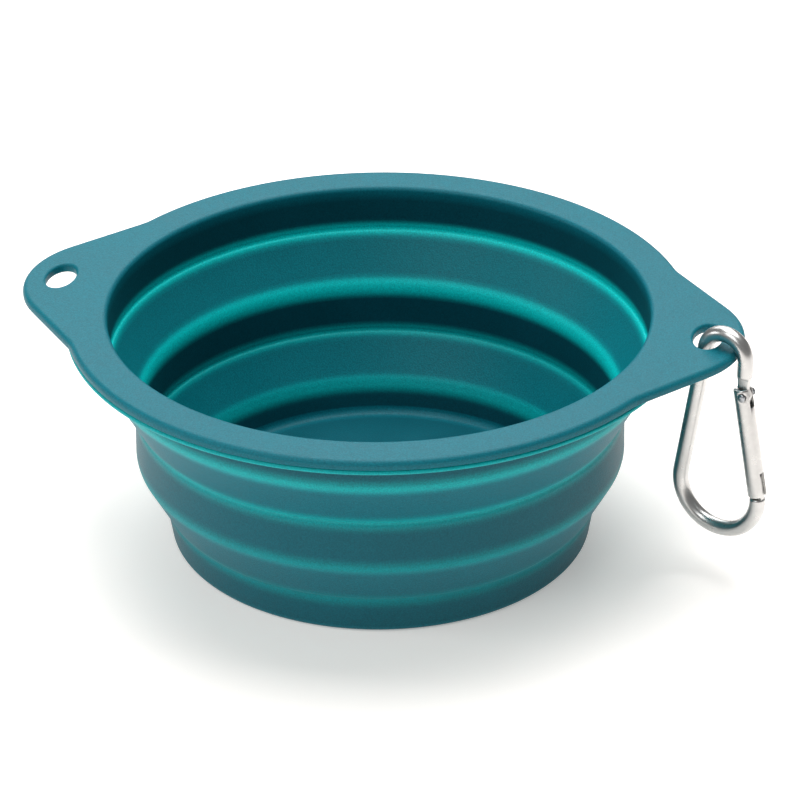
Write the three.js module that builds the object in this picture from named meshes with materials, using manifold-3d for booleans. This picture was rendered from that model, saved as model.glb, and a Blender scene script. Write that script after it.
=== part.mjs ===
// A folding travel bowl in silicone, with a small carabiner through one of its two ears.
// Millimetres, +Z up. The origin is the middle of the underside, the ears point along +X and -X,
// and the carabiner hangs in the +X ear.
import * as THREE from "three";
import { mergeVertices } from "three/addons/utils/BufferGeometryUtils.js";
import Module from "manifold-3d";

const wasm = await Module();
wasm.setup();

// ---- driving dimensions ----

const bowlHeight = 53;
const wallThickness = 1.4;
const floorThickness = 1.6;
const footRadius = 45.9;
const footRounding = 1.2;
const floorEdgeRadius = 44.2;

// The outside of the wall turns at these four places, and they are where it hinges.
const upperOuterTurn = { radius: 59.2, height: 42.2 };
const upperInnerTurn = { radius: 52.8, height: 30.6 };
const lowerOuterTurn = { radius: 53.0, height: 19.4 };
const lowerInnerTurn = { radius: 47.1, height: 8.5 };

// A fold web is the thin ring at a turn. It reaches this far along the wall either side of the turn.
const webReach = 1.3;
const webThickness = 0.9;

const rimOuterRadius = 66.6;
const rimPlateThickness = 2.2;
const rimEdgeRounding = 0.7;
const openingRounding = 1.1;
const lipRadius = 66.5;
const lipThickness = 0.9;

// An ear is a wide arc between two straight flanks, each faired into the round rim.
const earReach = 78.2;
const earTipRadius = 21.9;
const earFlankAngle = THREE.MathUtils.degToRad(41);
const earFilletRadius = 9;
const slotRadius = 3.1;
const slotLength = 11.6;
const slotDistance = 70.5;

// The carabiner is drawn in its own (x, z) plane, which is then set in place and turned about Z.
const carabinerPlace = { x: 70, y: -2.1 };
const carabinerTurn = THREE.MathUtils.degToRad(-25);
const rodRadius = 1.7;
const hook = { x: 5.35, z: 51.2, radius: 4.9 };
const basket = { x: 5.1, z: 19.3, radius: 9.65 };
const shoulderHeight = 47.6;
const rodEndAngle = THREE.MathUtils.degToRad(5);

const gateRadius = 2;
const gateTop = { x: 9.8, z: 45 };
const gateBottom = { x: 14.7, z: 20.6 };
const gateSlotWidth = 1.5;
const hingeSlotDepth = 4.3;
const latchSlotDepth = 5.5;
const boreRadius = 1.2;
const boreDepth = 15;
const flatThickness = 1.2;
const rivetPlace = { x: 10.8, z: 43.6 };
const rivetRadius = 0.7;
const rivetHoleRadius = 0.85;
const rivetHeadRadius = 0.9;
const rivetHeadDepth = 0.35;
const followerTop = 4.4;
const followerRadius = 1;
const followerLength = 4;
const springRadius = 0.84;
const wireRadius = 0.15;
const springTurns = 7;

const ringSegments = 72;

// ---- materials ----

const silicone = new THREE.MeshStandardMaterial({ color: 0x1f6b78, roughness: 0.55, metalness: 0 });
const thinSilicone = new THREE.MeshStandardMaterial({ color: 0x119aa0, roughness: 0.5, metalness: 0 });
const aluminium = new THREE.MeshStandardMaterial({ color: 0xd9dbdc, roughness: 0.25, metalness: 1 });
const steel = new THREE.MeshStandardMaterial({ color: 0xb8bcc0, roughness: 0.3, metalness: 1 });

// ---- shared helpers ----

function named(name, geometry, material) {
  const mesh = new THREE.Mesh(geometry, material);
  mesh.name = name;
  return mesh;
}

function solidOf(geometry) {
  const bare = geometry.clone();
  bare.deleteAttribute("normal");
  bare.deleteAttribute("uv");
  const merged = mergeVertices(bare, 1e-4);
  return new wasm.Manifold(
    new wasm.Mesh({
      numProp: 3,
      vertProperties: merged.attributes.position.array,
      triVerts: new Uint32Array(merged.index.array),
    }),
  );
}

function geometryOf(solid) {
  const mesh = solid.getMesh();
  const geometry = new THREE.BufferGeometry();
  geometry.setAttribute("position", new THREE.BufferAttribute(mesh.vertProperties, 3));
  geometry.setIndex(new THREE.BufferAttribute(mesh.triVerts, 1));
  geometry.computeVertexNormals();
  return geometry;
}

// A section in the (radius, height) plane, given anticlockwise, turned about the Z axis.
function revolve(section) {
  const onAxis = section[0][0] === 0;
  const points = section.map(([radius, height]) => new THREE.Vector2(radius, height));
  if (!onAxis) points.push(points[0].clone());
  return new THREE.LatheGeometry(points, ringSegments).rotateX(Math.PI / 2);
}

// A flat shape drawn in the (x, z) plane, given thickness along Y about y = 0.
function plate(shape, thickness) {
  const geometry = new THREE.ExtrudeGeometry(shape, { depth: thickness, bevelEnabled: false });
  return geometry.rotateX(Math.PI / 2).translate(0, thickness / 2, 0);
}

function outline(points) {
  return new THREE.Shape(points.map(([x, z]) => new THREE.Vector2(x, z)));
}

// ---- bowl wall ----

// One straight stretch of wall between two turns: its four corners, stopped short of both turns
// by the reach of the fold webs.
function stretch(from, to, startGap = webReach, endGap = webReach) {
  const along = new THREE.Vector2(to.radius - from.radius, to.height - from.height).normalize();
  const inward = new THREE.Vector2(along.y, -along.x);
  const start = new THREE.Vector2(from.radius, from.height).addScaledVector(along, startGap);
  const end = new THREE.Vector2(to.radius, to.height).addScaledVector(along, -endGap);
  return {
    inward,
    startOutside: start.toArray(),
    startInside: start.clone().addScaledVector(inward, wallThickness).toArray(),
    endOutside: end.toArray(),
    endInside: end.clone().addScaledVector(inward, wallThickness).toArray(),
  };
}

function stretchRing(wall) {
  return revolve([wall.endOutside, wall.startOutside, wall.startInside, wall.endInside]);
}

// The thin ring that joins two stretches, narrowed at the turn from both faces.
function foldWeb(turn, above, below) {
  const bisector = above.inward.clone().add(below.inward).normalize();
  const corner = new THREE.Vector2(turn.radius, turn.height);
  const outerWaist = corner.clone().addScaledVector(bisector, (wallThickness - webThickness) / 2);
  const innerWaist = outerWaist.clone().addScaledVector(bisector, webThickness);
  return revolve([
    below.startOutside,
    outerWaist.toArray(),
    above.endOutside,
    above.endInside,
    innerWaist.toArray(),
    below.startInside,
  ]);
}

const underRim = bowlHeight - rimPlateThickness;
const rimTurn = { radius: upperOuterTurn.radius, height: underRim - lipThickness };
const footTurn = { radius: footRadius, height: footRounding };
const upperWall = stretch(rimTurn, upperOuterTurn, 0);
const upperBand = stretch(upperOuterTurn, upperInnerTurn);
const middleWall = stretch(upperInnerTurn, lowerOuterTurn);
const lowerBand = stretch(lowerOuterTurn, lowerInnerTurn);
const baseWall = stretch(lowerInnerTurn, footTurn, webReach, 0);

function upperWallRing() {
  return stretchRing(upperWall);
}

function baseWallRing() {
  return revolve([
    [floorEdgeRadius, 0],
    [footRadius - footRounding, 0],
    [footRadius, footRounding],
    baseWall.startOutside,
    baseWall.startInside,
    [baseWall.endInside[0], floorThickness],
    [floorEdgeRadius, floorThickness],
  ]);
}

function bowlFloor() {
  return revolve([
    [0, 0],
    [floorEdgeRadius, 0],
    [floorEdgeRadius, floorThickness],
    [0, floorThickness],
  ]);
}

// ---- rim ----

// The outline of the rim plate: round, with two ears. Each flank lies square to earFlankAngle.
function rimOutline(shrink) {
  const tipRadius = earTipRadius - shrink;
  const roundRadius = rimOuterRadius - shrink;
  const filletRadius = earFilletRadius + shrink;
  const tipCentre = earReach - earTipRadius;
  const flankDistance = tipCentre * Math.cos(earFlankAngle) + tipRadius;
  const filletFromFlank = flankDistance + filletRadius;
  const filletFromCentre = roundRadius + filletRadius;
  const filletDirection = earFlankAngle - Math.acos(filletFromFlank / filletFromCentre);
  const shape = new THREE.Shape();
  for (const side of [0, Math.PI]) {
    const turned = (angle) => angle + side;
    const at = (distance, angle) => [distance * Math.cos(turned(angle)), distance * Math.sin(turned(angle))];
    const [lowX, lowY] = at(filletFromCentre, -filletDirection);
    const [tipX, tipY] = at(tipCentre, 0);
    const [highX, highY] = at(filletFromCentre, filletDirection);
    const away = Math.PI;
    const filletStart = away - filletDirection;
    const filletEnd = away - earFlankAngle;
    shape.absarc(lowX, lowY, filletRadius, turned(filletStart), turned(filletEnd), true);
    shape.absarc(tipX, tipY, tipRadius, turned(-earFlankAngle), turned(earFlankAngle), false);
    shape.absarc(highX, highY, filletRadius, turned(-filletEnd), turned(-filletStart), true);
    shape.absarc(0, 0, roundRadius, turned(filletDirection), turned(filletStart), false);
  }
  return shape;
}

// The long hole in each ear lies across the ear, so its straight sides run along Y.
function earSlot(side, grow) {
  const radius = slotRadius + grow;
  const endCentre = slotLength / 2 - slotRadius;
  const slot = new THREE.Path();
  slot.absarc(side * slotDistance, endCentre, radius, 0, Math.PI, false);
  slot.absarc(side * slotDistance, -endCentre, radius, Math.PI, 2 * Math.PI, false);
  return slot;
}

// The opening of the bowl, with its top edge rounded over.
function openingCutter() {
  const radius = upperWall.startInside[0];
  const eased = openingRounding * (1 - Math.SQRT1_2);
  return revolve([
    [0, underRim - 2],
    [radius, underRim - 2],
    [radius, bowlHeight - openingRounding],
    [radius + eased, bowlHeight - eased],
    [radius + openingRounding, bowlHeight],
    [radius + openingRounding, bowlHeight + 1],
    [0, bowlHeight + 1],
  ]);
}

// The thin round lip under the plate. It stands a little proud of the round edge, and passes
// under the ears.
function lip() {
  return revolve([
    [upperWall.startInside[0] - 1, rimTurn.height],
    [lipRadius, rimTurn.height],
    [lipRadius, underRim + 0.4],
    [upperWall.startInside[0] - 1, underRim + 0.4],
  ]);
}

function rimPlate() {
  const shape = rimOutline(rimEdgeRounding);
  shape.holes.push(earSlot(1, rimEdgeRounding), earSlot(-1, rimEdgeRounding));
  const geometry = new THREE.ExtrudeGeometry(shape, {
    depth: rimPlateThickness - 2 * rimEdgeRounding,
    bevelThickness: rimEdgeRounding,
    bevelSize: rimEdgeRounding,
    bevelSegments: 2,
    curveSegments: 10,
  });
  geometry.translate(0, 0, underRim + rimEdgeRounding);
  return geometryOf(solidOf(geometry).add(solidOf(lip())).subtract(solidOf(openingCutter())));
}

// ---- carabiner ----

// The middle line of the rod, from the shoulder over the hook, down the spine and round the basket.
function rodLine() {
  const drop = Math.hypot(hook.x - basket.x, hook.z - basket.z);
  const tilt = Math.atan2(hook.x - basket.x, hook.z - basket.z);
  const spineAngle = Math.PI - Math.asin((basket.radius - hook.radius) / drop) - tilt;
  const points = [new THREE.Vector3(hook.x + hook.radius, 0, shoulderHeight)];
  const arc = (end, from, to, count) => {
    for (let i = 0; i <= count; i++) {
      const angle = THREE.MathUtils.lerp(from, to, i / count);
      const x = end.x + end.radius * Math.cos(angle);
      points.push(new THREE.Vector3(x, 0, end.z + end.radius * Math.sin(angle)));
    }
  };
  arc(hook, 0, spineAngle, 10);
  arc(basket, spineAngle, 2 * Math.PI + rodEndAngle, 14);
  return new THREE.CatmullRomCurve3(points, false, "centripetal");
}

function rod() {
  const section = new THREE.Shape();
  section.absarc(0, 0, rodRadius, 0, 2 * Math.PI, false);
  return new THREE.ExtrudeGeometry(section, { steps: 48, curveSegments: 6, extrudePath: rodLine() });
}

// The flattened end of the rod that the gate hinges on. Its lower inner corner is the cam that
// presses on the follower as the gate opens.
function hingeTab() {
  const rodMiddle = hook.x + hook.radius;
  return plate(
    outline([
      [rodMiddle - 1.6, shoulderHeight + 0.5],
      [rodMiddle - 1.6, shoulderHeight - 0.4],
      [rodMiddle - 1.3, 44.6],
      [rivetPlace.x - 1.5, rivetPlace.z],
      [rivetPlace.x - 1.05, rivetPlace.z - 2.1],
      [rivetPlace.x + 0.9, rivetPlace.z - 1.7],
      [rivetPlace.x + 1.2, rivetPlace.z],
      [rodMiddle + 1.1, 45.2],
      [rodMiddle + 1.1, shoulderHeight - 0.4],
      [rodMiddle + 1.4, shoulderHeight + 0.5],
    ]),
    flatThickness,
  );
}

// The tongue on the other end of the rod, which the foot of the gate closes over.
function latchTongue() {
  const length = latchSlotDepth - 0.6;
  const tongue = outline([
    [-0.5, -1.4],
    [1.3, -1.4],
    [1.3, length - 0.6],
    [0.8, length],
    [-0.5, length],
  ]);
  return plate(tongue, flatThickness).rotateY(-gateLean()).translate(gateBottom.x, 0, gateBottom.z);
}

function rivetHole() {
  const hole = new THREE.CylinderGeometry(rivetHoleRadius, rivetHoleRadius, 8, 12);
  return hole.translate(rivetPlace.x, 0, rivetPlace.z);
}

function carabinerFrame() {
  const body = solidOf(rod()).add(solidOf(hingeTab())).add(solidOf(latchTongue()));
  return geometryOf(body.subtract(solidOf(rivetHole())));
}

function gateLean() {
  return Math.atan2(gateBottom.x - gateTop.x, gateTop.z - gateBottom.z);
}

// Turns a piece drawn along -Z from the origin, so that it lies along the gate from its top end.
function alongGate(geometry) {
  return geometry.rotateY(-gateLean()).translate(gateTop.x, 0, gateTop.z);
}

function bar(radius, from, to, sides) {
  const geometry = new THREE.CylinderGeometry(radius, radius, to - from, sides);
  return geometry.rotateX(Math.PI / 2).translate(0, 0, -(from + to) / 2);
}

function carabinerGate() {
  const length = Math.hypot(gateBottom.x - gateTop.x, gateTop.z - gateBottom.z);
  const hingeSlot = new THREE.BoxGeometry(8, gateSlotWidth, 2 * hingeSlotDepth);
  const latchSlot = new THREE.BoxGeometry(4, gateSlotWidth, 2 * latchSlotDepth).translate(1.1, 0, -length);
  let gate = solidOf(alongGate(bar(gateRadius, 0, length, 20)));
  gate = gate.subtract(solidOf(alongGate(bar(boreRadius, -1, boreDepth, 14))));
  gate = gate.subtract(solidOf(alongGate(hingeSlot)));
  gate = gate.subtract(solidOf(alongGate(latchSlot)));
  return geometryOf(gate.subtract(solidOf(rivetHole())));
}

// A round bar through the tab and both cheeks of the gate, with a low head on each side.
function gateRivet() {
  const headStart = gateRadius + 0.05;
  const profile = [
    [0, -headStart - rivetHeadDepth],
    [rivetHeadRadius - 0.2, -headStart - rivetHeadDepth],
    [rivetHeadRadius, -headStart],
    [rivetRadius, -headStart],
    [rivetRadius, headStart],
    [rivetHeadRadius, headStart],
    [rivetHeadRadius - 0.2, headStart + rivetHeadDepth],
    [0, headStart + rivetHeadDepth],
  ].map(([radius, y]) => new THREE.Vector2(radius, y));
  return new THREE.LatheGeometry(profile, 12).translate(rivetPlace.x, 0, rivetPlace.z);
}

function springFollower() {
  return alongGate(bar(followerRadius, followerTop, followerTop + followerLength, 14));
}

function gateSpring() {
  const top = followerTop + followerLength + 0.15 + wireRadius;
  const bottom = boreDepth - 0.2 - wireRadius;
  const points = [];
  const steps = springTurns * 10;
  for (let i = 0; i <= steps; i++) {
    const angle = (2 * Math.PI * springTurns * i) / steps;
    const depth = THREE.MathUtils.lerp(top, bottom, i / steps);
    points.push(new THREE.Vector3(springRadius * Math.cos(angle), springRadius * Math.sin(angle), -depth));
  }
  const section = new THREE.Shape();
  section.absarc(0, 0, wireRadius, 0, 2 * Math.PI, false);
  const helix = new THREE.CatmullRomCurve3(points);
  return alongGate(new THREE.ExtrudeGeometry(section, { steps, curveSegments: 3, extrudePath: helix }));
}

// ---- the whole object ----

const bowl = new THREE.Group();
bowl.add(named("bowl_floor", bowlFloor(), silicone));
bowl.add(named("base_wall_ring", baseWallRing(), silicone));
bowl.add(named("lower_fold_web_inner", foldWeb(lowerInnerTurn, lowerBand, baseWall), thinSilicone));
bowl.add(named("lower_fold_band", stretchRing(lowerBand), silicone));
bowl.add(named("lower_fold_web_outer", foldWeb(lowerOuterTurn, middleWall, lowerBand), thinSilicone));
bowl.add(named("middle_wall_ring", stretchRing(middleWall), silicone));
bowl.add(named("upper_fold_web_inner", foldWeb(upperInnerTurn, upperBand, middleWall), thinSilicone));
bowl.add(named("upper_fold_band", stretchRing(upperBand), silicone));
bowl.add(named("upper_fold_web_outer", foldWeb(upperOuterTurn, upperWall, upperBand), thinSilicone));
bowl.add(named("upper_wall_ring", upperWallRing(), silicone));
bowl.add(named("rim_plate", rimPlate(), silicone));

const carabiner = new THREE.Group();
carabiner.position.set(carabinerPlace.x, carabinerPlace.y, 0);
carabiner.rotation.z = carabinerTurn;
carabiner.add(named("carabiner_frame", carabinerFrame(), aluminium));
carabiner.add(named("carabiner_gate", carabinerGate(), aluminium));
carabiner.add(named("gate_rivet", gateRivet(), steel));
carabiner.add(named("spring_follower", springFollower(), steel));
carabiner.add(named("gate_spring", gateSpring(), steel));

const foldingBowl = new THREE.Group();
foldingBowl.add(bowl, carabiner);

export default foldingBowl;
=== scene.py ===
import math

import bmesh
import bpy
from mathutils import Matrix, Vector


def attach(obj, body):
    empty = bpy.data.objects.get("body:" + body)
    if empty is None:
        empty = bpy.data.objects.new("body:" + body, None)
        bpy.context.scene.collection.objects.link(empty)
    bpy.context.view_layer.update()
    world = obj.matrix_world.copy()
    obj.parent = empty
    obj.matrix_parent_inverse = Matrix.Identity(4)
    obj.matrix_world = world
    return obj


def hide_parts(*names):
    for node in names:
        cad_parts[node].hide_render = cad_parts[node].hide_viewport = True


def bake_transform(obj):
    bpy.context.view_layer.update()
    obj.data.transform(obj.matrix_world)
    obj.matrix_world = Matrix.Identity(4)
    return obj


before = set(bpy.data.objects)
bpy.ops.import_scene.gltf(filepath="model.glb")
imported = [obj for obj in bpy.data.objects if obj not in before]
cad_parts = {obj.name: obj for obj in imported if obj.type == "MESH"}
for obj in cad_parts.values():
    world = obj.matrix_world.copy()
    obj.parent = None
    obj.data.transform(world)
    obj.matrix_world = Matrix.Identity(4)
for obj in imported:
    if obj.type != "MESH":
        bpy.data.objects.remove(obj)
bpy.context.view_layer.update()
print("frame loaded:", len(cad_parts), "nodes")

mm = 0.001
fullTurn = 2 * math.pi
hair = 0.001                 # mm, the slack when heights are compared
scene = bpy.context.scene


def deselectAll():
    if bpy.context.object and bpy.context.object.mode != "OBJECT":
        bpy.ops.object.mode_set(mode="OBJECT")
    for thing in bpy.context.selected_objects:
        thing.select_set(False)


def makeActive(thing):
    deselectAll()
    thing.select_set(True)
    bpy.context.view_layer.objects.active = thing


def applyPlace(thing):
    makeActive(thing)
    bpy.ops.object.transform_apply(location=True, rotation=True, scale=True)


def addModifier(thing, kind, **settings):
    makeActive(thing)
    modifier = thing.modifiers.new(kind.lower(), kind)
    for key, value in settings.items():
        setattr(modifier, key, value)
    bpy.ops.object.modifier_apply(modifier=modifier.name)


def cutWith(thing, cutter, how="DIFFERENCE"):
    addModifier(thing, "BOOLEAN", object=cutter, operation=how, solver="EXACT")
    bpy.data.objects.remove(cutter)


def hexColor(code):
    parts = [int(code[i:i + 2], 16) / 255 for i in (0, 2, 4)]
    linear = [p / 12.92 if p <= 0.04045 else ((p + 0.055) / 1.055) ** 2.4 for p in parts]
    return (*linear, 1)


def newMaterial(name):
    material = bpy.data.materials.new(name)
    material.use_nodes = True
    material.node_tree.nodes.clear()
    return material


def addNode(material, kind, settings=None, inputs=None, links=None):
    # Settings are the node's own options, inputs are socket values, links are (node, its output) by socket.
    node = material.node_tree.nodes.new(kind)
    for key, value in (settings or {}).items():
        setattr(node, key, value)
    for key, value in (inputs or {}).items():
        node.inputs[key].default_value = value
    for key, (source, output) in (links or {}).items():
        material.node_tree.links.new(source.outputs[output], node.inputs[key])
    return node


def addNoise(material, place, size, detail, **inputs):
    # Noise whose features are about that many millimetres across.
    inputs = {"Scale": 1 / (size * mm), "Detail": detail, **inputs}
    return addNode(material, "ShaderNodeTexNoise", inputs=inputs, links={"Vector": place})


def addRange(material, source, low, high, fromMin=0, fromMax=1):
    # Maps a noise's values to the range from low to high.
    inputs = {"From Min": fromMin, "From Max": fromMax, "To Min": low, "To Max": high}
    return addNode(material, "ShaderNodeMapRange", inputs=inputs, links={"Value": (source, "Fac")})


def addMix(material, amount, first, second):
    # Mixes two colours, each a hex code or another node's output.
    node = addNode(material, "ShaderNodeMix", {"data_type": "RGBA"}, links={0: amount})
    for socket, color in ((6, first), (7, second)):
        if isinstance(color, str):
            node.inputs[socket].default_value = hexColor(color)
        else:
            material.node_tree.links.new(color[0].outputs[color[1]], node.inputs[socket])
    return node


def addBump(material, source, strength, height):
    inputs = {"Strength": strength, "Distance": height * mm}
    return addNode(material, "ShaderNodeBump", inputs=inputs, links={"Height": (source, "Fac")})


def addSurface(material, inputs, links):
    shader = addNode(material, "ShaderNodeBsdfPrincipled", inputs=inputs, links=links)
    addNode(material, "ShaderNodeOutputMaterial", links={"Surface": (shader, "BSDF")})


siliconeLook = {
    "deep": "00414d",        # the upright rings, darker with painted shade for the light they miss
    "shadedRingWorn": "014552",    # the same painted shade, where handling has left it a little chalky
    "body": "006270",        # the slanting bands, the floor and the rim
    "bodyWorn": "036674",
    "thin": "00d4d2",        # painted light, where a hinge web would let the light through
    "grainSize": 0.32,       # mm, the mould's texture, drawn coarser than its real 0.1 mm so that it shows
    "grainHeight": 0.07,     # mm
    "grainStrength": 0.9,
    "speckle": 0.22,         # how far the grain lightens and darkens the colour
    "mottleSize": 14,        # mm, faint clouds of finger marks and dust
    "roughness": (0.41, 0.54),
    "ior": 1.41,
    "specular": 0.27,
    "seeThrough": 0.12,
    "lightReach": 1.2,       # mm that light travels inside the rubber
    "lightColor": (0.4, 1.0, 1.0),
}


def mouldedSilicone():
    # Silicone rubber pressed in a spark-eroded mould: satin, fine-grained, slightly see-through where thin.
    # Light through the thin webs is painted in, and so is shade on the upright rings.
    look = siliconeLook
    material = newMaterial("mouldedSilicone")
    place = (addNode(material, "ShaderNodeTexCoord"), "Object")
    thin = addNode(material, "ShaderNodeAttribute", {"attribute_name": "thinWall"})
    paintedShade = addNode(material, "ShaderNodeAttribute", {"attribute_name": "paintedShadeMark"})
    mottle = addNoise(material, place, look["mottleSize"], 5, Roughness=0.6)
    cloud = addRange(material, mottle, 0, 1, 0.35, 0.7)
    bodyColor = addMix(material, (cloud, "Result"), look["body"], look["bodyWorn"])
    shadedRingColor = addMix(material, (cloud, "Result"), look["deep"], look["shadedRingWorn"])
    # Painted shade darkens the upright rings and painted light brightens the webs, by the two marks.
    wallColor = addMix(material, (paintedShade, "Fac"), (bodyColor, 2), (shadedRingColor, 2))
    evenColor = addMix(material, (thin, "Fac"), (wallColor, 2), look["thin"])
    grain = addNoise(material, place, look["grainSize"], 3, Roughness=0.55)
    speckle = addRange(material, grain, 1 - look["speckle"], 1 + look["speckle"], 0.3, 0.7)
    color = addNode(material, "ShaderNodeHueSaturation",
                    links={"Value": (speckle, "Result"), "Color": (evenColor, 2)})
    bump = addBump(material, grain, look["grainStrength"], look["grainHeight"])
    rough = addRange(material, mottle, *look["roughness"])
    inputs = {"IOR": look["ior"], "Specular IOR Level": look["specular"],
              "Subsurface Weight": look["seeThrough"], "Subsurface Scale": look["lightReach"] * mm,
              "Subsurface Radius": look["lightColor"]}
    links = {"Base Color": (color, "Color"), "Roughness": (rough, "Result"), "Normal": (bump, "Normal")}
    addSurface(material, inputs, links)
    return material


aluminiumLook = {
    "metal": "d1d1cf",
    "dull": "babab9",
    "rubSize": 2.4,          # mm, the soft patches that barrel tumbling leaves
    "roughness": (0.19, 0.41),
    "nickSize": 0.5,         # mm
    "nickHeight": 0.012,     # mm
    "nickStrength": 0.35,
}


def tumbledAluminium():
    # Drawn aluminium rod, bent, then barrel tumbled: bright, with a soft uneven shine and fine nicks.
    look = aluminiumLook
    material = newMaterial("tumbledAluminium")
    place = (addNode(material, "ShaderNodeTexCoord"), "Object")
    rub = addNoise(material, place, look["rubSize"], 6, Roughness=0.65)
    color = addMix(material, (rub, "Fac"), look["metal"], look["dull"])
    rough = addRange(material, rub, *look["roughness"])
    nick = addNoise(material, place, look["nickSize"], 4, Roughness=0.7)
    bump = addBump(material, nick, look["nickStrength"], look["nickHeight"])
    links = {"Base Color": (color, 2), "Roughness": (rough, "Result"), "Normal": (bump, "Normal")}
    addSurface(material, {"Metallic": 1}, links)
    return material


steelLook = {
    "metal": "a9adb1",
    "roughness": (0.2, 0.42),
    "streakSize": 1.2,       # mm across the streaks that the die leaves
    "streakStretch": 0.2,    # how much slower they change along the wire
}


def drawnSteel():
    # Drawn steel wire and pin: greyer than the aluminium, with fine streaks from the die.
    look = steelLook
    material = newMaterial("drawnSteel")
    place = addNode(material, "ShaderNodeTexCoord")
    stretch = addNode(material, "ShaderNodeMapping", inputs={"Scale": (1, 1, look["streakStretch"])},
                      links={"Vector": (place, "Object")})
    streak = addNoise(material, (stretch, "Vector"), look["streakSize"], 5)
    rough = addRange(material, streak, *look["roughness"])
    inputs = {"Metallic": 1, "Base Color": hexColor(look["metal"])}
    addSurface(material, inputs, {"Roughness": (rough, "Result")})
    return material


silicone = mouldedSilicone()
aluminium = tumbledAluminium()
steel = drawnSteel()
print("materials made")


bowl = {
    "segments": 288,
    "wall": 1.4,
    "turns": [(45.9, 1.2), (47.1, 8.5), (53.0, 19.4), (52.8, 30.6), (59.2, 42.2), (59.2, 49.9)],
    "webReach": 1.3,         # how far a hinge web runs either side of its turn
    "webWall": 1.12,
    "webFlat": 0.6,          # inside, a web looks evenly thin this far either side of its middle
    "webSoft": 1.5,          # past the web the wall is still thickening, over this length
    "webRows": 12,
    "seam": 0.75,            # rings meet this far past a web, on the straight wall
    "seamRows": (0, 0.33, 0.66, 1),
    "stretchRows": 10,
    # Painted light on each web, lowest first.
    "webGlow": [0.42, 0.55, 0.78, 0.95],
    "bandGlow": 0.07,        # inside, the slanting bands get a trace of painted light, for light coming through them
    "outsideGlow": 0.44,     # outside, where more light falls, the painted web light is fainter and the painted ring shade lighter
    "outsideShade": 0.35,
    "smoothAngle": 45,
    "markReach": 0.3,        # a point further than this from every marked loop keeps the plain colour
}
turns = [Vector(turn) for turn in bowl["turns"]]
ways = [(b - a).normalized() for a, b in zip(turns, turns[1:])]
inward = [Vector((-way.y, way.x)) for way in ways]


def thinness(away, flat):
    # 1 across the middle of a web, falling softly to 0 where the wall reaches its full thickness.
    reach = bowl["webReach"] + bowl["webSoft"]
    if away >= reach:
        return 0
    return 1 if away <= flat else 0.5 + 0.5 * math.cos(math.pi * (away - flat) / (reach - flat))


def curvePoint(a, b, c, d, t):
    return a * (1 - t) ** 3 + b * (3 * t * (1 - t) ** 2) + c * (3 * t * t * (1 - t)) + d * t ** 3


def wallSide(inside):
    # The whole wall from foot to rim, as (radius, height, painted light, painted shade) points, with a web at
    # each inner turn. The painted light is strongest on the webs, and the painted shade falls on the upright
    # rings, not on the slanting bands between them.
    depth = bowl["wall"] if inside else 0
    reach, seam, rows, webRows = (bowl[key] for key in ("webReach", "seam", "stretchRows", "webRows"))
    # Painted web light and painted ring shade are full inside and weaker outside.
    glow = [g * (1 if inside else bowl["outsideGlow"]) for g in bowl["webGlow"]]
    deep = 1 if inside else bowl["outsideShade"]
    flat = bowl["webFlat"] if inside else 0
    faint = bowl["bandGlow"] if inside else 0
    lastWay = len(ways) - 1
    points = []
    for i, (way, normal) in enumerate(zip(ways, inward)):
        start = turns[i] + normal * depth
        length = (turns[i + 1] - turns[i]).length
        first = 0 if i == 0 else reach
        last = length - (0 if i == lastWay else reach)
        places = [first + seam * part for part in bowl["seamRows"]]
        places += [first + seam + (last - first - 2 * seam) * k / rows for k in range(1, rows)]
        places += [last - seam * part for part in bowl["seamRows"][::-1]]
        for p in places:
            below = thinness(p, flat) * glow[i - 1] if i > 0 else 0
            above = thinness(length - p, flat) * glow[i] if i < lastWay else 0
            points.append((*(start + way * p), max(below, above, faint * (i % 2)), (1 - i % 2) * deep))
        if i == lastWay:
            break
        # The web itself is two short curves, straight on from each stretch, that meet level at its waist.
        nextWay, nextNormal = ways[i + 1], inward[i + 1]
        middle = (normal + nextNormal).normalized()
        waistDepth = (bowl["wall"] - bowl["webWall"]) / 2 + (bowl["webWall"] if inside else 0)
        waist = turns[i + 1] + middle * waistDepth
        low = start + way * last
        high = turns[i + 1] + nextNormal * depth + nextWay * reach
        level = Vector((middle.y, -middle.x))
        if level.dot(way) < 0:
            level = -level
        half = webRows / 2
        for k in range(1, webRows):
            t = k / half
            if t <= 1:
                leave, arrive = low + way * reach * 0.5, waist - level * reach * 0.5
                point = curvePoint(low, leave, arrive, waist, t)
            else:
                leave, arrive = waist + level * reach * 0.5, high - nextWay * reach * 0.5
                point = curvePoint(waist, leave, arrive, high, t - 1)
            thin = thinness(abs(t - 1) * reach, flat) * glow[i]
            part = k / webRows
            points.append((*point, thin, (part if i % 2 else 1 - part) * deep))
    return points


def between(points, low, high):
    return [p for p in points if low <= p[1] <= high]


outerWall = wallSide(False)
innerWall = wallSide(True)


def angleOf(vert):
    return math.atan2(vert.co.y, vert.co.x) % fullTurn


def startCircle(count, fill="NGON"):
    # A circle of that many points, left in edit mode with all of it selected.
    deselectAll()
    bpy.ops.mesh.primitive_circle_add(vertices=count, radius=1, fill_type=fill)
    thing = bpy.context.object
    bpy.ops.object.mode_set(mode="EDIT")
    return thing


def selectedVerts(mesh):
    return [v for v in mesh.verts if v.select]


def faceOutward():
    bpy.ops.mesh.select_all(action="SELECT")
    bpy.ops.mesh.normals_make_consistent(inside=False)


def finishEditing():
    faceOutward()
    bpy.ops.object.mode_set(mode="OBJECT")


def smoothUpTo(thing, degrees):
    makeActive(thing)
    bpy.ops.object.shade_smooth_by_angle(angle=math.radians(degrees))


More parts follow.
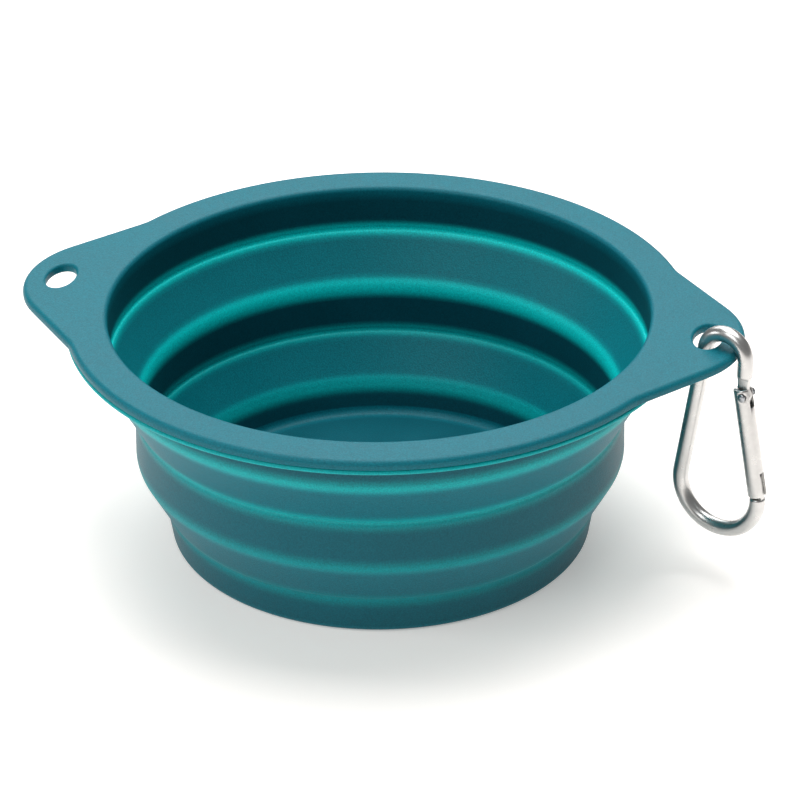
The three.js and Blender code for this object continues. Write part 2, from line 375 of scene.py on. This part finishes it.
def loftLoops(name, loops, closed=True):
    # A circle is added at the first loop, and each further loop is extruded from the last and set in place.
    count = bowl["segments"]
    thing = startCircle(count, fill="NOTHING")
    thing.name = name
    thing.data.name = name
    angles = [fullTurn * k / count for k in range(count)]

    def setLoop(verts, loop):
        radius, height = loop[:2]
        for vert, angle in zip(verts, angles):
            r = radius(angle) if callable(radius) else radius
            vert.co = Vector((r * math.cos(angle), r * math.sin(angle), height)) * mm

    mesh = bmesh.from_edit_mesh(thing.data)
    setLoop(sorted(mesh.verts, key=angleOf), loops[0])
    bpy.ops.mesh.select_all(action="SELECT")
    for loop in loops[1:]:
        bpy.ops.mesh.extrude_edges_move()
        mesh = bmesh.from_edit_mesh(thing.data)
        setLoop(sorted(selectedVerts(mesh), key=lambda v: round(angleOf(v), 7)), loop)
    bmesh.update_edit_mesh(thing.data)
    if closed:
        bpy.ops.mesh.select_mode(type="EDGE")
        bpy.ops.mesh.select_all(action="DESELECT")
        bpy.ops.mesh.select_non_manifold()
        bpy.ops.mesh.bridge_edge_loops()
        bpy.ops.mesh.select_mode(type="VERT")
    finishEditing()
    smoothUpTo(thing, bowl["smoothAngle"])
    return thing


def markWall(thing, loops):
    # Each point of the ring remembers its painted web light and painted ring shade, so that the colour
    # follows it as it folds.
    thin = thing.data.attributes.new("thinWall", "FLOAT", "POINT")
    paintedShade = thing.data.attributes.new("paintedShadeMark", "FLOAT", "POINT")
    marks = [loop for loop in loops if not callable(loop[0])]
    known = {}
    for vert in thing.data.vertices:
        radius = math.hypot(vert.co.x, vert.co.y) / mm
        height = vert.co.z / mm
        key = (round(radius, 2), round(height, 2))
        if key not in known:
            near = min(marks, key=lambda m: abs(m[0] - radius) + abs(m[1] - height))
            away = abs(near[0] - radius) + abs(near[1] - height)
            known[key] = (*near, 0, 0)[2:4] if away < bowl["markReach"] else (0, 0)
        thin.data[vert.index].value, paintedShade.data[vert.index].value = known[key]


def finishRing(thing, loops, nodes):
    markWall(thing, loops)
    thing.data.materials.clear()
    thing.data.materials.append(silicone)
    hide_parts(*nodes)


def seamHeights():
    # The heights, outside and inside, where one ring hands over to the next, below and above each web.
    seams = []
    gap = bowl["webReach"] + bowl["seam"]
    for i in range(1, len(ways)):
        lowPoint = turns[i] - ways[i - 1] * gap
        highPoint = turns[i] + ways[i] * gap
        lowInside = lowPoint + inward[i - 1] * bowl["wall"]
        highInside = highPoint + inward[i] * bowl["wall"]
        seams.append(((lowPoint.y, lowInside.y), (highPoint.y, highInside.y)))
    return seams


lowerInner, lowerOuter, upperInner, upperOuter = seamHeights()


def ringLoops(start, end):
    outside = between(outerWall, start[0] - hair, end[0] + hair)
    inside = between(innerWall, start[1] - hair, end[1] + hair)
    return outside + inside[::-1]


lowerFoldLoops = ringLoops(lowerInner[0], lowerOuter[1])
lowerFold = loftLoops("lowerFold", lowerFoldLoops)
finishRing(lowerFold, lowerFoldLoops, ["lower_fold_web_inner", "lower_fold_band", "lower_fold_web_outer"])
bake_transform(lowerFold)

middleLoops = ringLoops(lowerOuter[1], upperInner[0])
middleWall = loftLoops("middleWall", middleLoops)
finishRing(middleWall, middleLoops, ["middle_wall_ring"])
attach(middleWall, "middle_ring")

upperFoldLoops = ringLoops(upperInner[0], upperOuter[1])
upperFold = loftLoops("upperFold", upperFoldLoops)
finishRing(upperFold, upperFoldLoops, ["upper_fold_web_inner", "upper_fold_band", "upper_fold_web_outer"])
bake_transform(upperFold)
print("folding wall made")


base = {
    "foot": 45.9,
    "footRounding": 1.2,
    "underRadii": (0.01, 12, 28, 40, 43.5),
    "floor": 1.6,
    "floorFillet": 1.6,
    "floorRadii": (42, 40, 34, 26, 17, 8, 0.01),
    "floorShade": 0.5,       # painted shade: the floor's colour is halfway to that of the shaded upright rings
    "footGap": 0.05,         # the wall starts this far above the foot's rounding
    "filletGap": 0.3,
    "weld": 0.03,
}


def arcPoints(centre, radius, startDegrees, endDegrees, steps):
    out = []
    for k in range(steps + 1):
        angle = math.radians(startDegrees + (endDegrees - startDegrees) * k / steps)
        out.append((centre[0] + radius * math.cos(angle), centre[1] + radius * math.sin(angle), 0, 0))
    return out


rounding, fillet = base["footRounding"], base["floorFillet"]
outsideBase = between(outerWall, rounding + base["footGap"], lowerInner[0][0] + hair)
insideBase = between(innerWall, base["floor"] + fillet + base["filletGap"], lowerInner[0][1] + hair)
insideFoot = insideBase[0][0] - base["footGap"]
baseLoops = [(radius, 0, 0) for radius in base["underRadii"]]
baseLoops += arcPoints((base["foot"] - rounding, rounding), rounding, -90, -8, 6)
baseLoops += outsideBase + insideBase[::-1]
baseLoops += arcPoints((insideFoot - fillet, base["floor"] + fillet), fillet, 0, -90, 7)
baseLoops += [(radius, base["floor"], 0, base["floorShade"]) for radius in base["floorRadii"]]
baseCup = loftLoops("baseCup", baseLoops, closed=False)
makeActive(baseCup)
bpy.ops.object.mode_set(mode="EDIT")
bpy.ops.mesh.select_all(action="DESELECT")
bpy.ops.mesh.select_non_manifold()
bpy.ops.mesh.remove_doubles(threshold=base["weld"] * mm)
finishEditing()
finishRing(baseCup, baseLoops, ["bowl_floor", "base_wall_ring"])
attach(baseCup, "base")
print("base made")


rim = {
    "round": 66.6,
    "earCentre": 56.3,
    "earTip": 21.9,
    "earFlank": 41,          # degrees from the ear's middle line to the flank's outward side
    "earFillet": 9,
    "top": 53,
    "plate": 2.2,
    "topRounding": 1.2,
    "topRows": 8,
    "underRounding": 0.5,
    "underRows": 4,
    "underStep": 0.02,       # keeps the plate's first loops off the lip's last one
    "plateRows": 6,
    "mouth": 57.8,
    "mouthRounding": 1.1,
    "mouthRows": (0.96, 0.8, 0.6, 0.4, 0.2, 0.04),
    "wallTop": 49.8,
    "lip": 66.6,
    "lipHeight": 0.9,
    "lipFillet": 0.8,        # where the wall runs out into the lip
    "lipFilletGap": 0.75,
    "lipMiddle": 63,
    "lipUnderRounding": 0.35,
    "lipTopRounding": 0.5,
    "lipInset": 0.6,
    "lipGlow": 0.4,          # painted light: the thin lip is coloured lighter than the plate above it
    "slot": (70.5, 6.1, 11.0),
    "slotRounding": 0.7,
    "slotPast": 0.6,
    "slotPoints": 96,
    "smoothAngle": 40,
    "normalWeight": 60,
}


def outlineRadius(shrink):
    # The distance from the middle to the rim's edge, less shrink, in a given direction.
    flank = math.radians(rim["earFlank"])
    tip, centre = rim["earTip"] - shrink, rim["earCentre"]
    fillet = rim["earFillet"] + shrink
    roundEdge = rim["round"] - shrink
    flankDistance = centre * math.cos(flank) + tip
    filletDistance = roundEdge + fillet
    filletWay = flank - math.acos((flankDistance + fillet) / filletDistance)
    tipEnd = math.atan2(tip * math.sin(flank), centre + tip * math.cos(flank))
    flankX = filletDistance * math.cos(filletWay) - fillet * math.cos(flank)
    flankY = filletDistance * math.sin(filletWay) - fillet * math.sin(flank)
    flankEnd = math.atan2(flankY, flankX)

    def radius(angle):
        a = abs((angle + math.pi / 2) % math.pi - math.pi / 2)
        if a <= tipEnd:
            return centre * math.cos(a) + math.sqrt(tip ** 2 - (centre * math.sin(a)) ** 2)
        if a <= flankEnd:
            return flankDistance / math.cos(flank - a)
        if a <= filletWay:
            sideways = filletDistance * math.sin(a - filletWay)
            return filletDistance * math.cos(a - filletWay) - math.sqrt(fillet ** 2 - sideways ** 2)
        return roundEdge

    return radius


def share(low, shrink, part):
    # A loop part of the way from a round one to the rim's edge.
    edge = outlineRadius(shrink)
    return lambda angle: low + (edge(angle) - low) * part


top = rim["top"]
plateUnder = top - rim["plate"]
lipUnder = plateUnder - rim["lipHeight"]
wallOut = bowl["turns"][-1][0]
rimLoops = between(outerWall, upperOuter[1][0] - hair, lipUnder - rim["lipFilletGap"])
for degrees in (0, 22, 45, 68, 90):
    a = math.radians(degrees)
    lipRoot = rim["lipFillet"]
    rimLoops.append((wallOut + lipRoot * (1 - math.cos(a)), lipUnder - lipRoot + lipRoot * math.sin(a), 0))
rimLoops += [(rim["lipMiddle"], lipUnder, 0)]
r = rim["lipUnderRounding"]
lipEdge = arcPoints((rim["lip"] - r, lipUnder + r), r, -90, 0, 5)
r = rim["lipTopRounding"]
lipEdge += arcPoints((rim["lip"] - r, plateUnder - r), r, 0, 86, 6)
rimLoops += [(radius, height, rim["lipGlow"], 0) for radius, height, *rest in lipEdge]
plateStart = plateUnder + rim["underStep"]
rows, r = rim["plateRows"], rim["underRounding"]
rimLoops += [(share(rim["lip"] - rim["lipInset"], r, k / rows), plateStart, 0) for k in range(1, rows)]
for k in range(rim["underRows"] + 1):
    a = math.radians(90 * k / rim["underRows"])
    rimLoops.append((outlineRadius(r * (1 - math.sin(a))), plateStart + r * (1 - math.cos(a)), 0))
r = rim["topRounding"]
for k in range(rim["topRows"] + 1):
    a = math.radians(90 * k / rim["topRows"])
    rimLoops.append((outlineRadius(r * (1 - math.cos(a))), top - r * (1 - math.sin(a)), 0))
mouthEdge = rim["mouth"] + rim["mouthRounding"]
rimLoops += [(share(mouthEdge, r, part), top, 0) for part in rim["mouthRows"]]
rimLoops += arcPoints((mouthEdge, top - rim["mouthRounding"]), rim["mouthRounding"], 90, 180, 7)
rimLoops += between(innerWall, upperOuter[1][1] - hair, rim["wallTop"])[::-1]
rimPiece = loftLoops("rimWithEars", rimLoops)


def slotCutter(side):
    # An oval bar, flared where it meets the top and the underside, so that the cut leaves eased edges.
    middle, across, long = rim["slot"]
    ease = rim["slotRounding"]
    past = rim["slotPast"]
    bend = [math.radians(degrees) for degrees in (15, 30, 45, 60, 75, 90)]
    flare = [(top + past, ease), (top + hair, ease)]
    flare += [(top - ease * (1 - math.cos(a)), ease * (1 - math.sin(a))) for a in bend]
    flare += [(plateUnder + ease * (1 - math.cos(a)), ease * (1 - math.sin(a))) for a in bend[::-1]]
    flare += [(plateUnder - hair, ease), (plateUnder - past, ease)]
    cutter = startCircle(rim["slotPoints"])
    last = None
    for height, grow in flare:
        wide, deep = across / 2 + grow, long / 2 + grow
        if last:
            bpy.ops.mesh.extrude_region_move()
        mesh = bmesh.from_edit_mesh(cutter.data)
        for v in selectedVerts(mesh):
            x, y = v.co.x, v.co.y
            if last:
                x, y = (x / mm - side * middle) / last[0], y / mm / last[1]
            v.co = Vector((side * middle + x * wide, y * deep, height)) * mm
        bmesh.update_edit_mesh(cutter.data)
        last = (wide, deep)
    finishEditing()
    return cutter


for side in (1, -1):
    cutWith(rimPiece, slotCutter(side))
smoothUpTo(rimPiece, rim["smoothAngle"])
finishRing(rimPiece, rimLoops, ["upper_wall_ring", "rim_plate"])
addModifier(rimPiece, "WEIGHTED_NORMAL", keep_sharp=True, weight=rim["normalWeight"])
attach(rimPiece, "rim")
print("rim made")


# The carabiner is drawn in its own upright plane, X along the plane and Z up, then turned and moved into the
# ear's slot.
clip = {
    "place": (70, -2.1),
    "turn": -25,
    "rod": 1.7,
    "rodPoints": 32,
    "hook": (5.35, 51.2, 4.9),
    "hookRows": 26,
    "basket": (5.1, 19.3, 9.65),
    "basketRows": 40,
    "spineRows": 12,
    "shoulder": 47.6,
    "shoulderLength": 1.2,
    "shoulderRows": 3,
    "rodEnd": 5,
    "flat": 1.2,
    "flatEase": 0.1,
    "ease": 0.45,
    "smoothAngle": 32,
}
gate = {
    "top": (9.8, 45.0),
    "bottom": (14.7, 20.6),
    "radius": 2,
    "points": 48,
    "rows": 8,
    "ease": 0.4,
    "edge": 0.07,
    "edgeAngle": 40,
    "slot": 1.5,
    "slotEase": 0.02,
    "hingeSlot": 4.3,
    "latchSlot": 5.5,
    "latchWall": 0.9,        # the latch slot leaves the gate's inner side whole, this far from its middle
    "bore": 1.2,
    "boreDepth": 15,
    "past": 1,               # cutters reach this far past the ends
    "wide": 3,               # and this far past the sides
    "rivet": (10.8, 43.6),
    "rivetPin": 0.7,
    "rivetPinPoints": 32,
    "rivetHole": 0.85,
    "rivetHolePoints": 40,
    "rivetHoleReach": 4,
    "rivetHead": 0.9,
    "rivetHeadRim": 0.08,
    "rivetProud": 0.35,
    "rivetClear": 0.05,
    "rivetAngle": 35,
}
# The tab that the gate's rivet passes through, from the rod's end down to a rounded eye.
hinge = {
    "root": 0.5,             # it starts this far up in the rod
    "stepTop": 0.35,         # it narrows between these depths below the shoulder
    "stepEnd": 1,
    "inner": (1.5, 1.3),     # how far it reaches inwards, at the rod and below the step
    "outer": (1.3, 1.1),
    "neckEnds": (44.6, 45.2),
    "eye": [(-1.5, 0), (-1.05, -2.1), (0.9, -1.7), (1.2, 0)],
}
# The tongue on the lower rod end that stands in the gate's slot.
tongue = {"root": -1.2, "inner": -0.5, "outer": 1.3, "tip": 0.8, "corner": 0.6, "clear": 0.6}


def setInEar(thing):
    # Turns a piece drawn in the carabiner's plane into its place in the ear.
    thing.rotation_euler = (0, 0, math.radians(clip["turn"]))
    thing.location = (clip["place"][0] * mm, clip["place"][1] * mm, 0)
    applyPlace(thing)


def rodPoints():
    hookX, hookZ, hookR = clip["hook"]
    basketX, basketZ, basketR = clip["basket"]
    drop = math.hypot(hookX - basketX, hookZ - basketZ)
    tilt = math.atan2(hookX - basketX, hookZ - basketZ)
    spine = 180 - math.degrees(math.asin((basketR - hookR) / drop) + tilt)
    rows = clip["shoulderRows"]
    points = [(hookX + hookR, clip["shoulder"] + clip["shoulderLength"] * k / rows) for k in range(rows)]
    points += [p[:2] for p in arcPoints((hookX, hookZ), hookR, 0, spine, clip["hookRows"])]
    around = arcPoints((basketX, basketZ), basketR, spine, 360 + clip["rodEnd"], clip["basketRows"])
    basketArc = [p[:2] for p in around]
    (startX, startZ), (endX, endZ) = points[-1], basketArc[0]
    rows = clip["spineRows"]
    for k in range(1, rows):
        points.append((startX + (endX - startX) * k / rows, startZ + (endZ - startZ) * k / rows))
    return points + basketArc


def eased(rings, ease):
    # The same rings with both ends rounded over.
    curve = [(1, 0), (0.38, 0.2), (0.08, 0.6), (0, 1)]
    (low, way, radius), (high, lastWay, lastRadius) = rings[0], rings[-1]
    first = [(low + way * ease * along, way, radius - ease * inset) for inset, along in curve]
    last = [(high - lastWay * ease * along, lastWay, lastRadius - ease * inset)
            for inset, along in curve[::-1]]
    return first + rings[1:-1] + last


def drawAlong(rings, count=clip["rodPoints"]):
    # A filled circle is drawn out ring by ring, each ring a middle point, a way and a radius.
    thing = startCircle(count)
    for k, (middle, way, radius) in enumerate(rings):
        if k > 0:
            bpy.ops.mesh.extrude_region_move()
        mesh = bmesh.from_edit_mesh(thing.data)
        ring = selectedVerts(mesh)
        if k == 0:
            ring.sort(key=angleOf)
        else:
            lastMiddle, lastWay, _ = rings[k - 1]
            lastSide = Vector((lastWay.y, -lastWay.x))

            def turnOf(v):
                sideways = (Vector((v.co.x, v.co.z)) - lastMiddle * mm).dot(lastSide)
                return math.atan2(v.co.y, sideways) % fullTurn

            ring.sort(key=turnOf)
        side = Vector((way.y, -way.x))
        for number, v in enumerate(ring):
            angle = fullTurn * (number + 0.5) / count
            across = side * radius * math.cos(angle)
            v.co = Vector((middle.x + across.x, radius * math.sin(angle), middle.y + across.y)) * mm
        bmesh.update_edit_mesh(thing.data)
    finishEditing()
    return thing


def bendRod():
    points = rodPoints()
    rings = []
    for k, point in enumerate(points):
        before = Vector(points[max(0, k - 1)])
        after = Vector(points[min(len(points) - 1, k + 1)])
        rings.append((Vector(point), (after - before).normalized(), clip["rod"]))
    return drawAlong(eased(rings, clip["ease"]))


def straightRings(start, end, radius):
    a, b = Vector(start), Vector(end)
    way = (b - a).normalized()
    rows = gate["rows"]
    return [(a + (b - a) * k / rows, way, radius) for k in range(rows + 1)]


def flatPiece(points, thickness, ease):
    # A flat filled outline in the plane, given its thickness and eased edges.
    thing = startCircle(len(points))
    mesh = bmesh.from_edit_mesh(thing.data)
    ring = sorted(mesh.verts, key=lambda v: math.atan2(v.co.y, v.co.x))
    for v, (x, z) in zip(ring, points):
        v.co = Vector((x, -thickness / 2, z)) * mm
    bmesh.update_edit_mesh(thing.data)
    bpy.ops.mesh.select_all(action="SELECT")
    bpy.ops.mesh.extrude_region_move(TRANSFORM_OT_translate={"value": (0, thickness * mm, 0)})
    faceOutward()
    bpy.ops.mesh.bevel(offset=ease * mm, segments=2, affect="EDGES")
    bpy.ops.object.mode_set(mode="OBJECT")
    return thing


def crossPin(radius, half, points):
    # A round pin through the plane at the rivet.
    x, z = gate["rivet"]
    deselectAll()
    bpy.ops.mesh.primitive_cylinder_add(vertices=points, radius=radius * mm, depth=2 * half * mm,
                                        location=(x * mm, 0, z * mm), rotation=(math.radians(90), 0, 0))
    thing = bpy.context.object
    applyPlace(thing)
    return thing


def rivetHole():
    return crossPin(gate["rivetHole"], gate["rivetHoleReach"], gate["rivetHolePoints"])


gateLength = (Vector(gate["bottom"]) - Vector(gate["top"])).length


def alongGate(depth, out=0):
    # A point at that depth below the gate's top, out to the side by that much.
    a, b = Vector(gate["top"]), Vector(gate["bottom"])
    way = (b - a).normalized()
    return a + way * depth + Vector((-way.y, way.x)) * out


def hingeTab():
    x = clip["hook"][0] + clip["hook"][2]
    root = clip["shoulder"] + hinge["root"]
    stepTop = clip["shoulder"] - hinge["stepTop"]
    stepEnd = clip["shoulder"] - hinge["stepEnd"]
    (rodIn, neckIn), (rodOut, neckOut) = hinge["inner"], hinge["outer"]
    lowIn, lowOut = hinge["neckEnds"]
    rivetX, rivetZ = gate["rivet"]
    inner = [(x - rodIn, root), (x - rodIn, stepTop), (x - neckIn, stepEnd), (x - neckIn, lowIn)]
    eye = [(rivetX + out, rivetZ + up) for out, up in hinge["eye"]]
    outer = [(x + neckOut, lowOut), (x + neckOut, stepEnd), (x + rodOut, stepTop), (x + rodOut, root)]
    return flatPiece(inner + eye + outer, clip["flat"], clip["flatEase"])


def latchTongue():
    tall = gate["latchSlot"] - tongue["clear"]
    corners = [
        (tongue["inner"], tongue["root"]), (tongue["outer"], tongue["root"]),
        (tongue["outer"], tall - tongue["corner"]), (tongue["tip"], tall), (tongue["inner"], tall),
    ]
    outline = [tuple(alongGate(gateLength - up, out)) for out, up in corners]
    return flatPiece(outline, clip["flat"], clip["flatEase"])


def slotBox(depthFrom, depthTo, outFrom, outTo):
    corners = [(depthFrom, outFrom), (depthFrom, outTo), (depthTo, outTo), (depthTo, outFrom)]
    return flatPiece([tuple(alongGate(*corner)) for corner in corners], gate["slot"], gate["slotEase"])


def finishMetal(thing, name, degrees, material):
    thing.name = thing.data.name = name
    smoothUpTo(thing, degrees)
    thing.data.materials.append(material)
    setInEar(thing)


clipFrame = bendRod()
cutWith(clipFrame, hingeTab(), "UNION")
cutWith(clipFrame, latchTongue(), "UNION")
cutWith(clipFrame, rivetHole())
finishMetal(clipFrame, "clipFrame", clip["smoothAngle"], aluminium)
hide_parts("carabiner_frame")
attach(clipFrame, "carabiner")

past, wide = gate["past"], gate["wide"]
tube = straightRings(gate["top"], gate["bottom"], gate["radius"])
bore = straightRings(alongGate(-past), alongGate(gate["boreDepth"]), gate["bore"])
clipGate = drawAlong(eased(tube, gate["ease"]), gate["points"])
cutWith(clipGate, drawAlong(bore))
cutWith(clipGate, slotBox(-past, gate["hingeSlot"], -wide, wide))
cutWith(clipGate, slotBox(gateLength - gate["latchSlot"], gateLength + past, -gate["latchWall"], wide))
cutWith(clipGate, rivetHole())
addModifier(clipGate, "BEVEL", width=gate["edge"] * mm, segments=2, limit_method="ANGLE",
            angle_limit=math.radians(gate["edgeAngle"]), use_clamp_overlap=True)
finishMetal(clipGate, "clipGate", clip["smoothAngle"], aluminium)
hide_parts("carabiner_gate")
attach(clipGate, "gate")


def domedRivet():
    # A pin with a low domed head at each end, left by the setting tool.
    reach = gate["radius"] + gate["rivetClear"]
    head, proud = gate["rivetHead"], gate["rivetProud"]
    rings = [(reach, head), (reach + gate["rivetHeadRim"], head)]
    for degrees in (30, 50, 68, 82):
        a = math.radians(degrees)
        rings.append((reach + proud * math.sin(a), head * math.cos(a)))
    thing = crossPin(gate["rivetPin"], reach, gate["rivetPinPoints"])
    makeActive(thing)
    bpy.ops.object.mode_set(mode="EDIT")
    centre = Vector((gate["rivet"][0], 0, gate["rivet"][1])) * mm
    for side in (1, -1):
        bpy.ops.mesh.select_all(action="DESELECT")
        mesh = bmesh.from_edit_mesh(thing.data)
        for face in mesh.faces:
            face.select = len(face.verts) > 4 and face.calc_center_median().y * side > 0
        mesh.select_flush(True)
        for out, radius in rings:
            bpy.ops.mesh.extrude_region_move()
            mesh = bmesh.from_edit_mesh(thing.data)
            for v in selectedVerts(mesh):
                way = Vector((v.co.x - centre.x, 0, v.co.z - centre.z)).normalized()
                v.co = centre + way * radius * mm + Vector((0, side * out * mm, 0))
            bmesh.update_edit_mesh(thing.data)
    finishEditing()
    return thing


rivet = domedRivet()
finishMetal(rivet, "gateRivet", gate["rivetAngle"], steel)
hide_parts("gate_rivet")
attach(rivet, "carabiner")

for name in ("gate_spring", "spring_follower"):
    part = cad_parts[name]
    part.data.materials.clear()
    part.data.materials.append(steel)
print("carabiner made")


cameraSettings = {
    "lens": 159.3,
    "sensor": 36,
    "clip": (0.01, 50),
    "azimuth": 12.69,        # degrees
    "away": 0.6682,
    "height": 0.4027,
    "pitch": 0.509,          # radians, as are the next two
    "yaw": 0.0065,
    "roll": -0.0072,
}


def addCamera():
    s = cameraSettings
    azimuth = math.radians(s["azimuth"])
    data = bpy.data.cameras.new("camera")
    data.lens = s["lens"]
    data.sensor_width = s["sensor"]
    data.clip_start, data.clip_end = s["clip"]
    camera = bpy.data.objects.new("camera", data)
    scene.collection.objects.link(camera)
    turn = Matrix.Rotation(azimuth - s["yaw"], 4, "Z")
    turn = turn @ Matrix.Rotation(math.radians(90) - s["pitch"], 4, "X")
    turn = turn @ Matrix.Rotation(s["roll"], 4, "Z")
    place = Matrix.Translation((s["away"] * math.sin(azimuth), -s["away"] * math.cos(azimuth), s["height"]))
    camera.matrix_world = place @ turn
    scene.camera = camera


studio = {
    "floor": "f7f2ee",
    "floorSize": 8,
    "floorDrop": 0.0002,
    "floorNoise": 6,
    "floorRough": (0.7, 0.9),
    "floorSpecular": 0.2,
    "floorGlow": 0.31,
    "floorGlowColor": (1, 0.965, 0.94, 1),
    "world": (1, 1, 1, 1),
    "worldStrength": 0.22,
}
lamps = {
    "front": {"place": (-0.35, -0.75, 0.85), "aim": (0, 0, 0.03), "size": (0.6, 0.6), "power": 4},
    "side": {"place": (-0.9, -0.25, 0.32), "aim": (0.03, 0.045, 0.036), "size": (0.22, 0.22), "power": 1.2},
    "back": {"place": (-0.35, 1.15, 0.9), "aim": (0, 0, 0.04), "size": (1.3, 0.7), "power": 8.5},
    "overhead": {"place": (0.0, 0.25, 1.1), "aim": (0, 0, 0), "size": (0.9, 0.9), "power": 15},
}


def paintedFloor():
    # Matt white studio sweep: a broken-up white that takes a soft contact shadow.
    material = newMaterial("whiteSweep")
    place = addNode(material, "ShaderNodeTexCoord")
    noise = addNode(material, "ShaderNodeTexNoise", inputs={"Scale": studio["floorNoise"], "Detail": 4},
                    links={"Vector": (place, "Object")})
    rough = addRange(material, noise, *studio["floorRough"])
    inputs = {"Base Color": hexColor(studio["floor"]), "Specular IOR Level": studio["floorSpecular"],
              "Emission Color": studio["floorGlowColor"], "Emission Strength": studio["floorGlow"]}
    addSurface(material, inputs, {"Roughness": (rough, "Result")})
    return material


def addFloor():
    deselectAll()
    bpy.ops.mesh.primitive_plane_add(size=studio["floorSize"], location=(0, 0, -studio["floorDrop"]))
    floor = bpy.context.object
    floor.name = "floor"
    applyPlace(floor)
    floor.data.materials.append(paintedFloor())


def lightWorld():
    world = bpy.data.worlds.new("studioWorld")
    scene.world = world
    world.use_nodes = True
    background = world.node_tree.nodes["Background"]
    background.inputs["Color"].default_value = studio["world"]
    background.inputs["Strength"].default_value = studio["worldStrength"]
    scene.view_settings.view_transform = "Standard"


def addLamp(name, place, aim, size, power):
    data = bpy.data.lights.new(name, "AREA")
    data.shape = "RECTANGLE"
    data.size, data.size_y = size
    data.energy = power
    lamp = bpy.data.objects.new(name, data)
    scene.collection.objects.link(lamp)
    lamp.location = place
    lamp.rotation_euler = (Vector(aim) - Vector(place)).to_track_quat("-Z", "Y").to_euler()


addCamera()
addFloor()
lightWorld()
for name, lampSettings in lamps.items():
    addLamp(name, **lampSettings)
print("camera, floor and lights made")
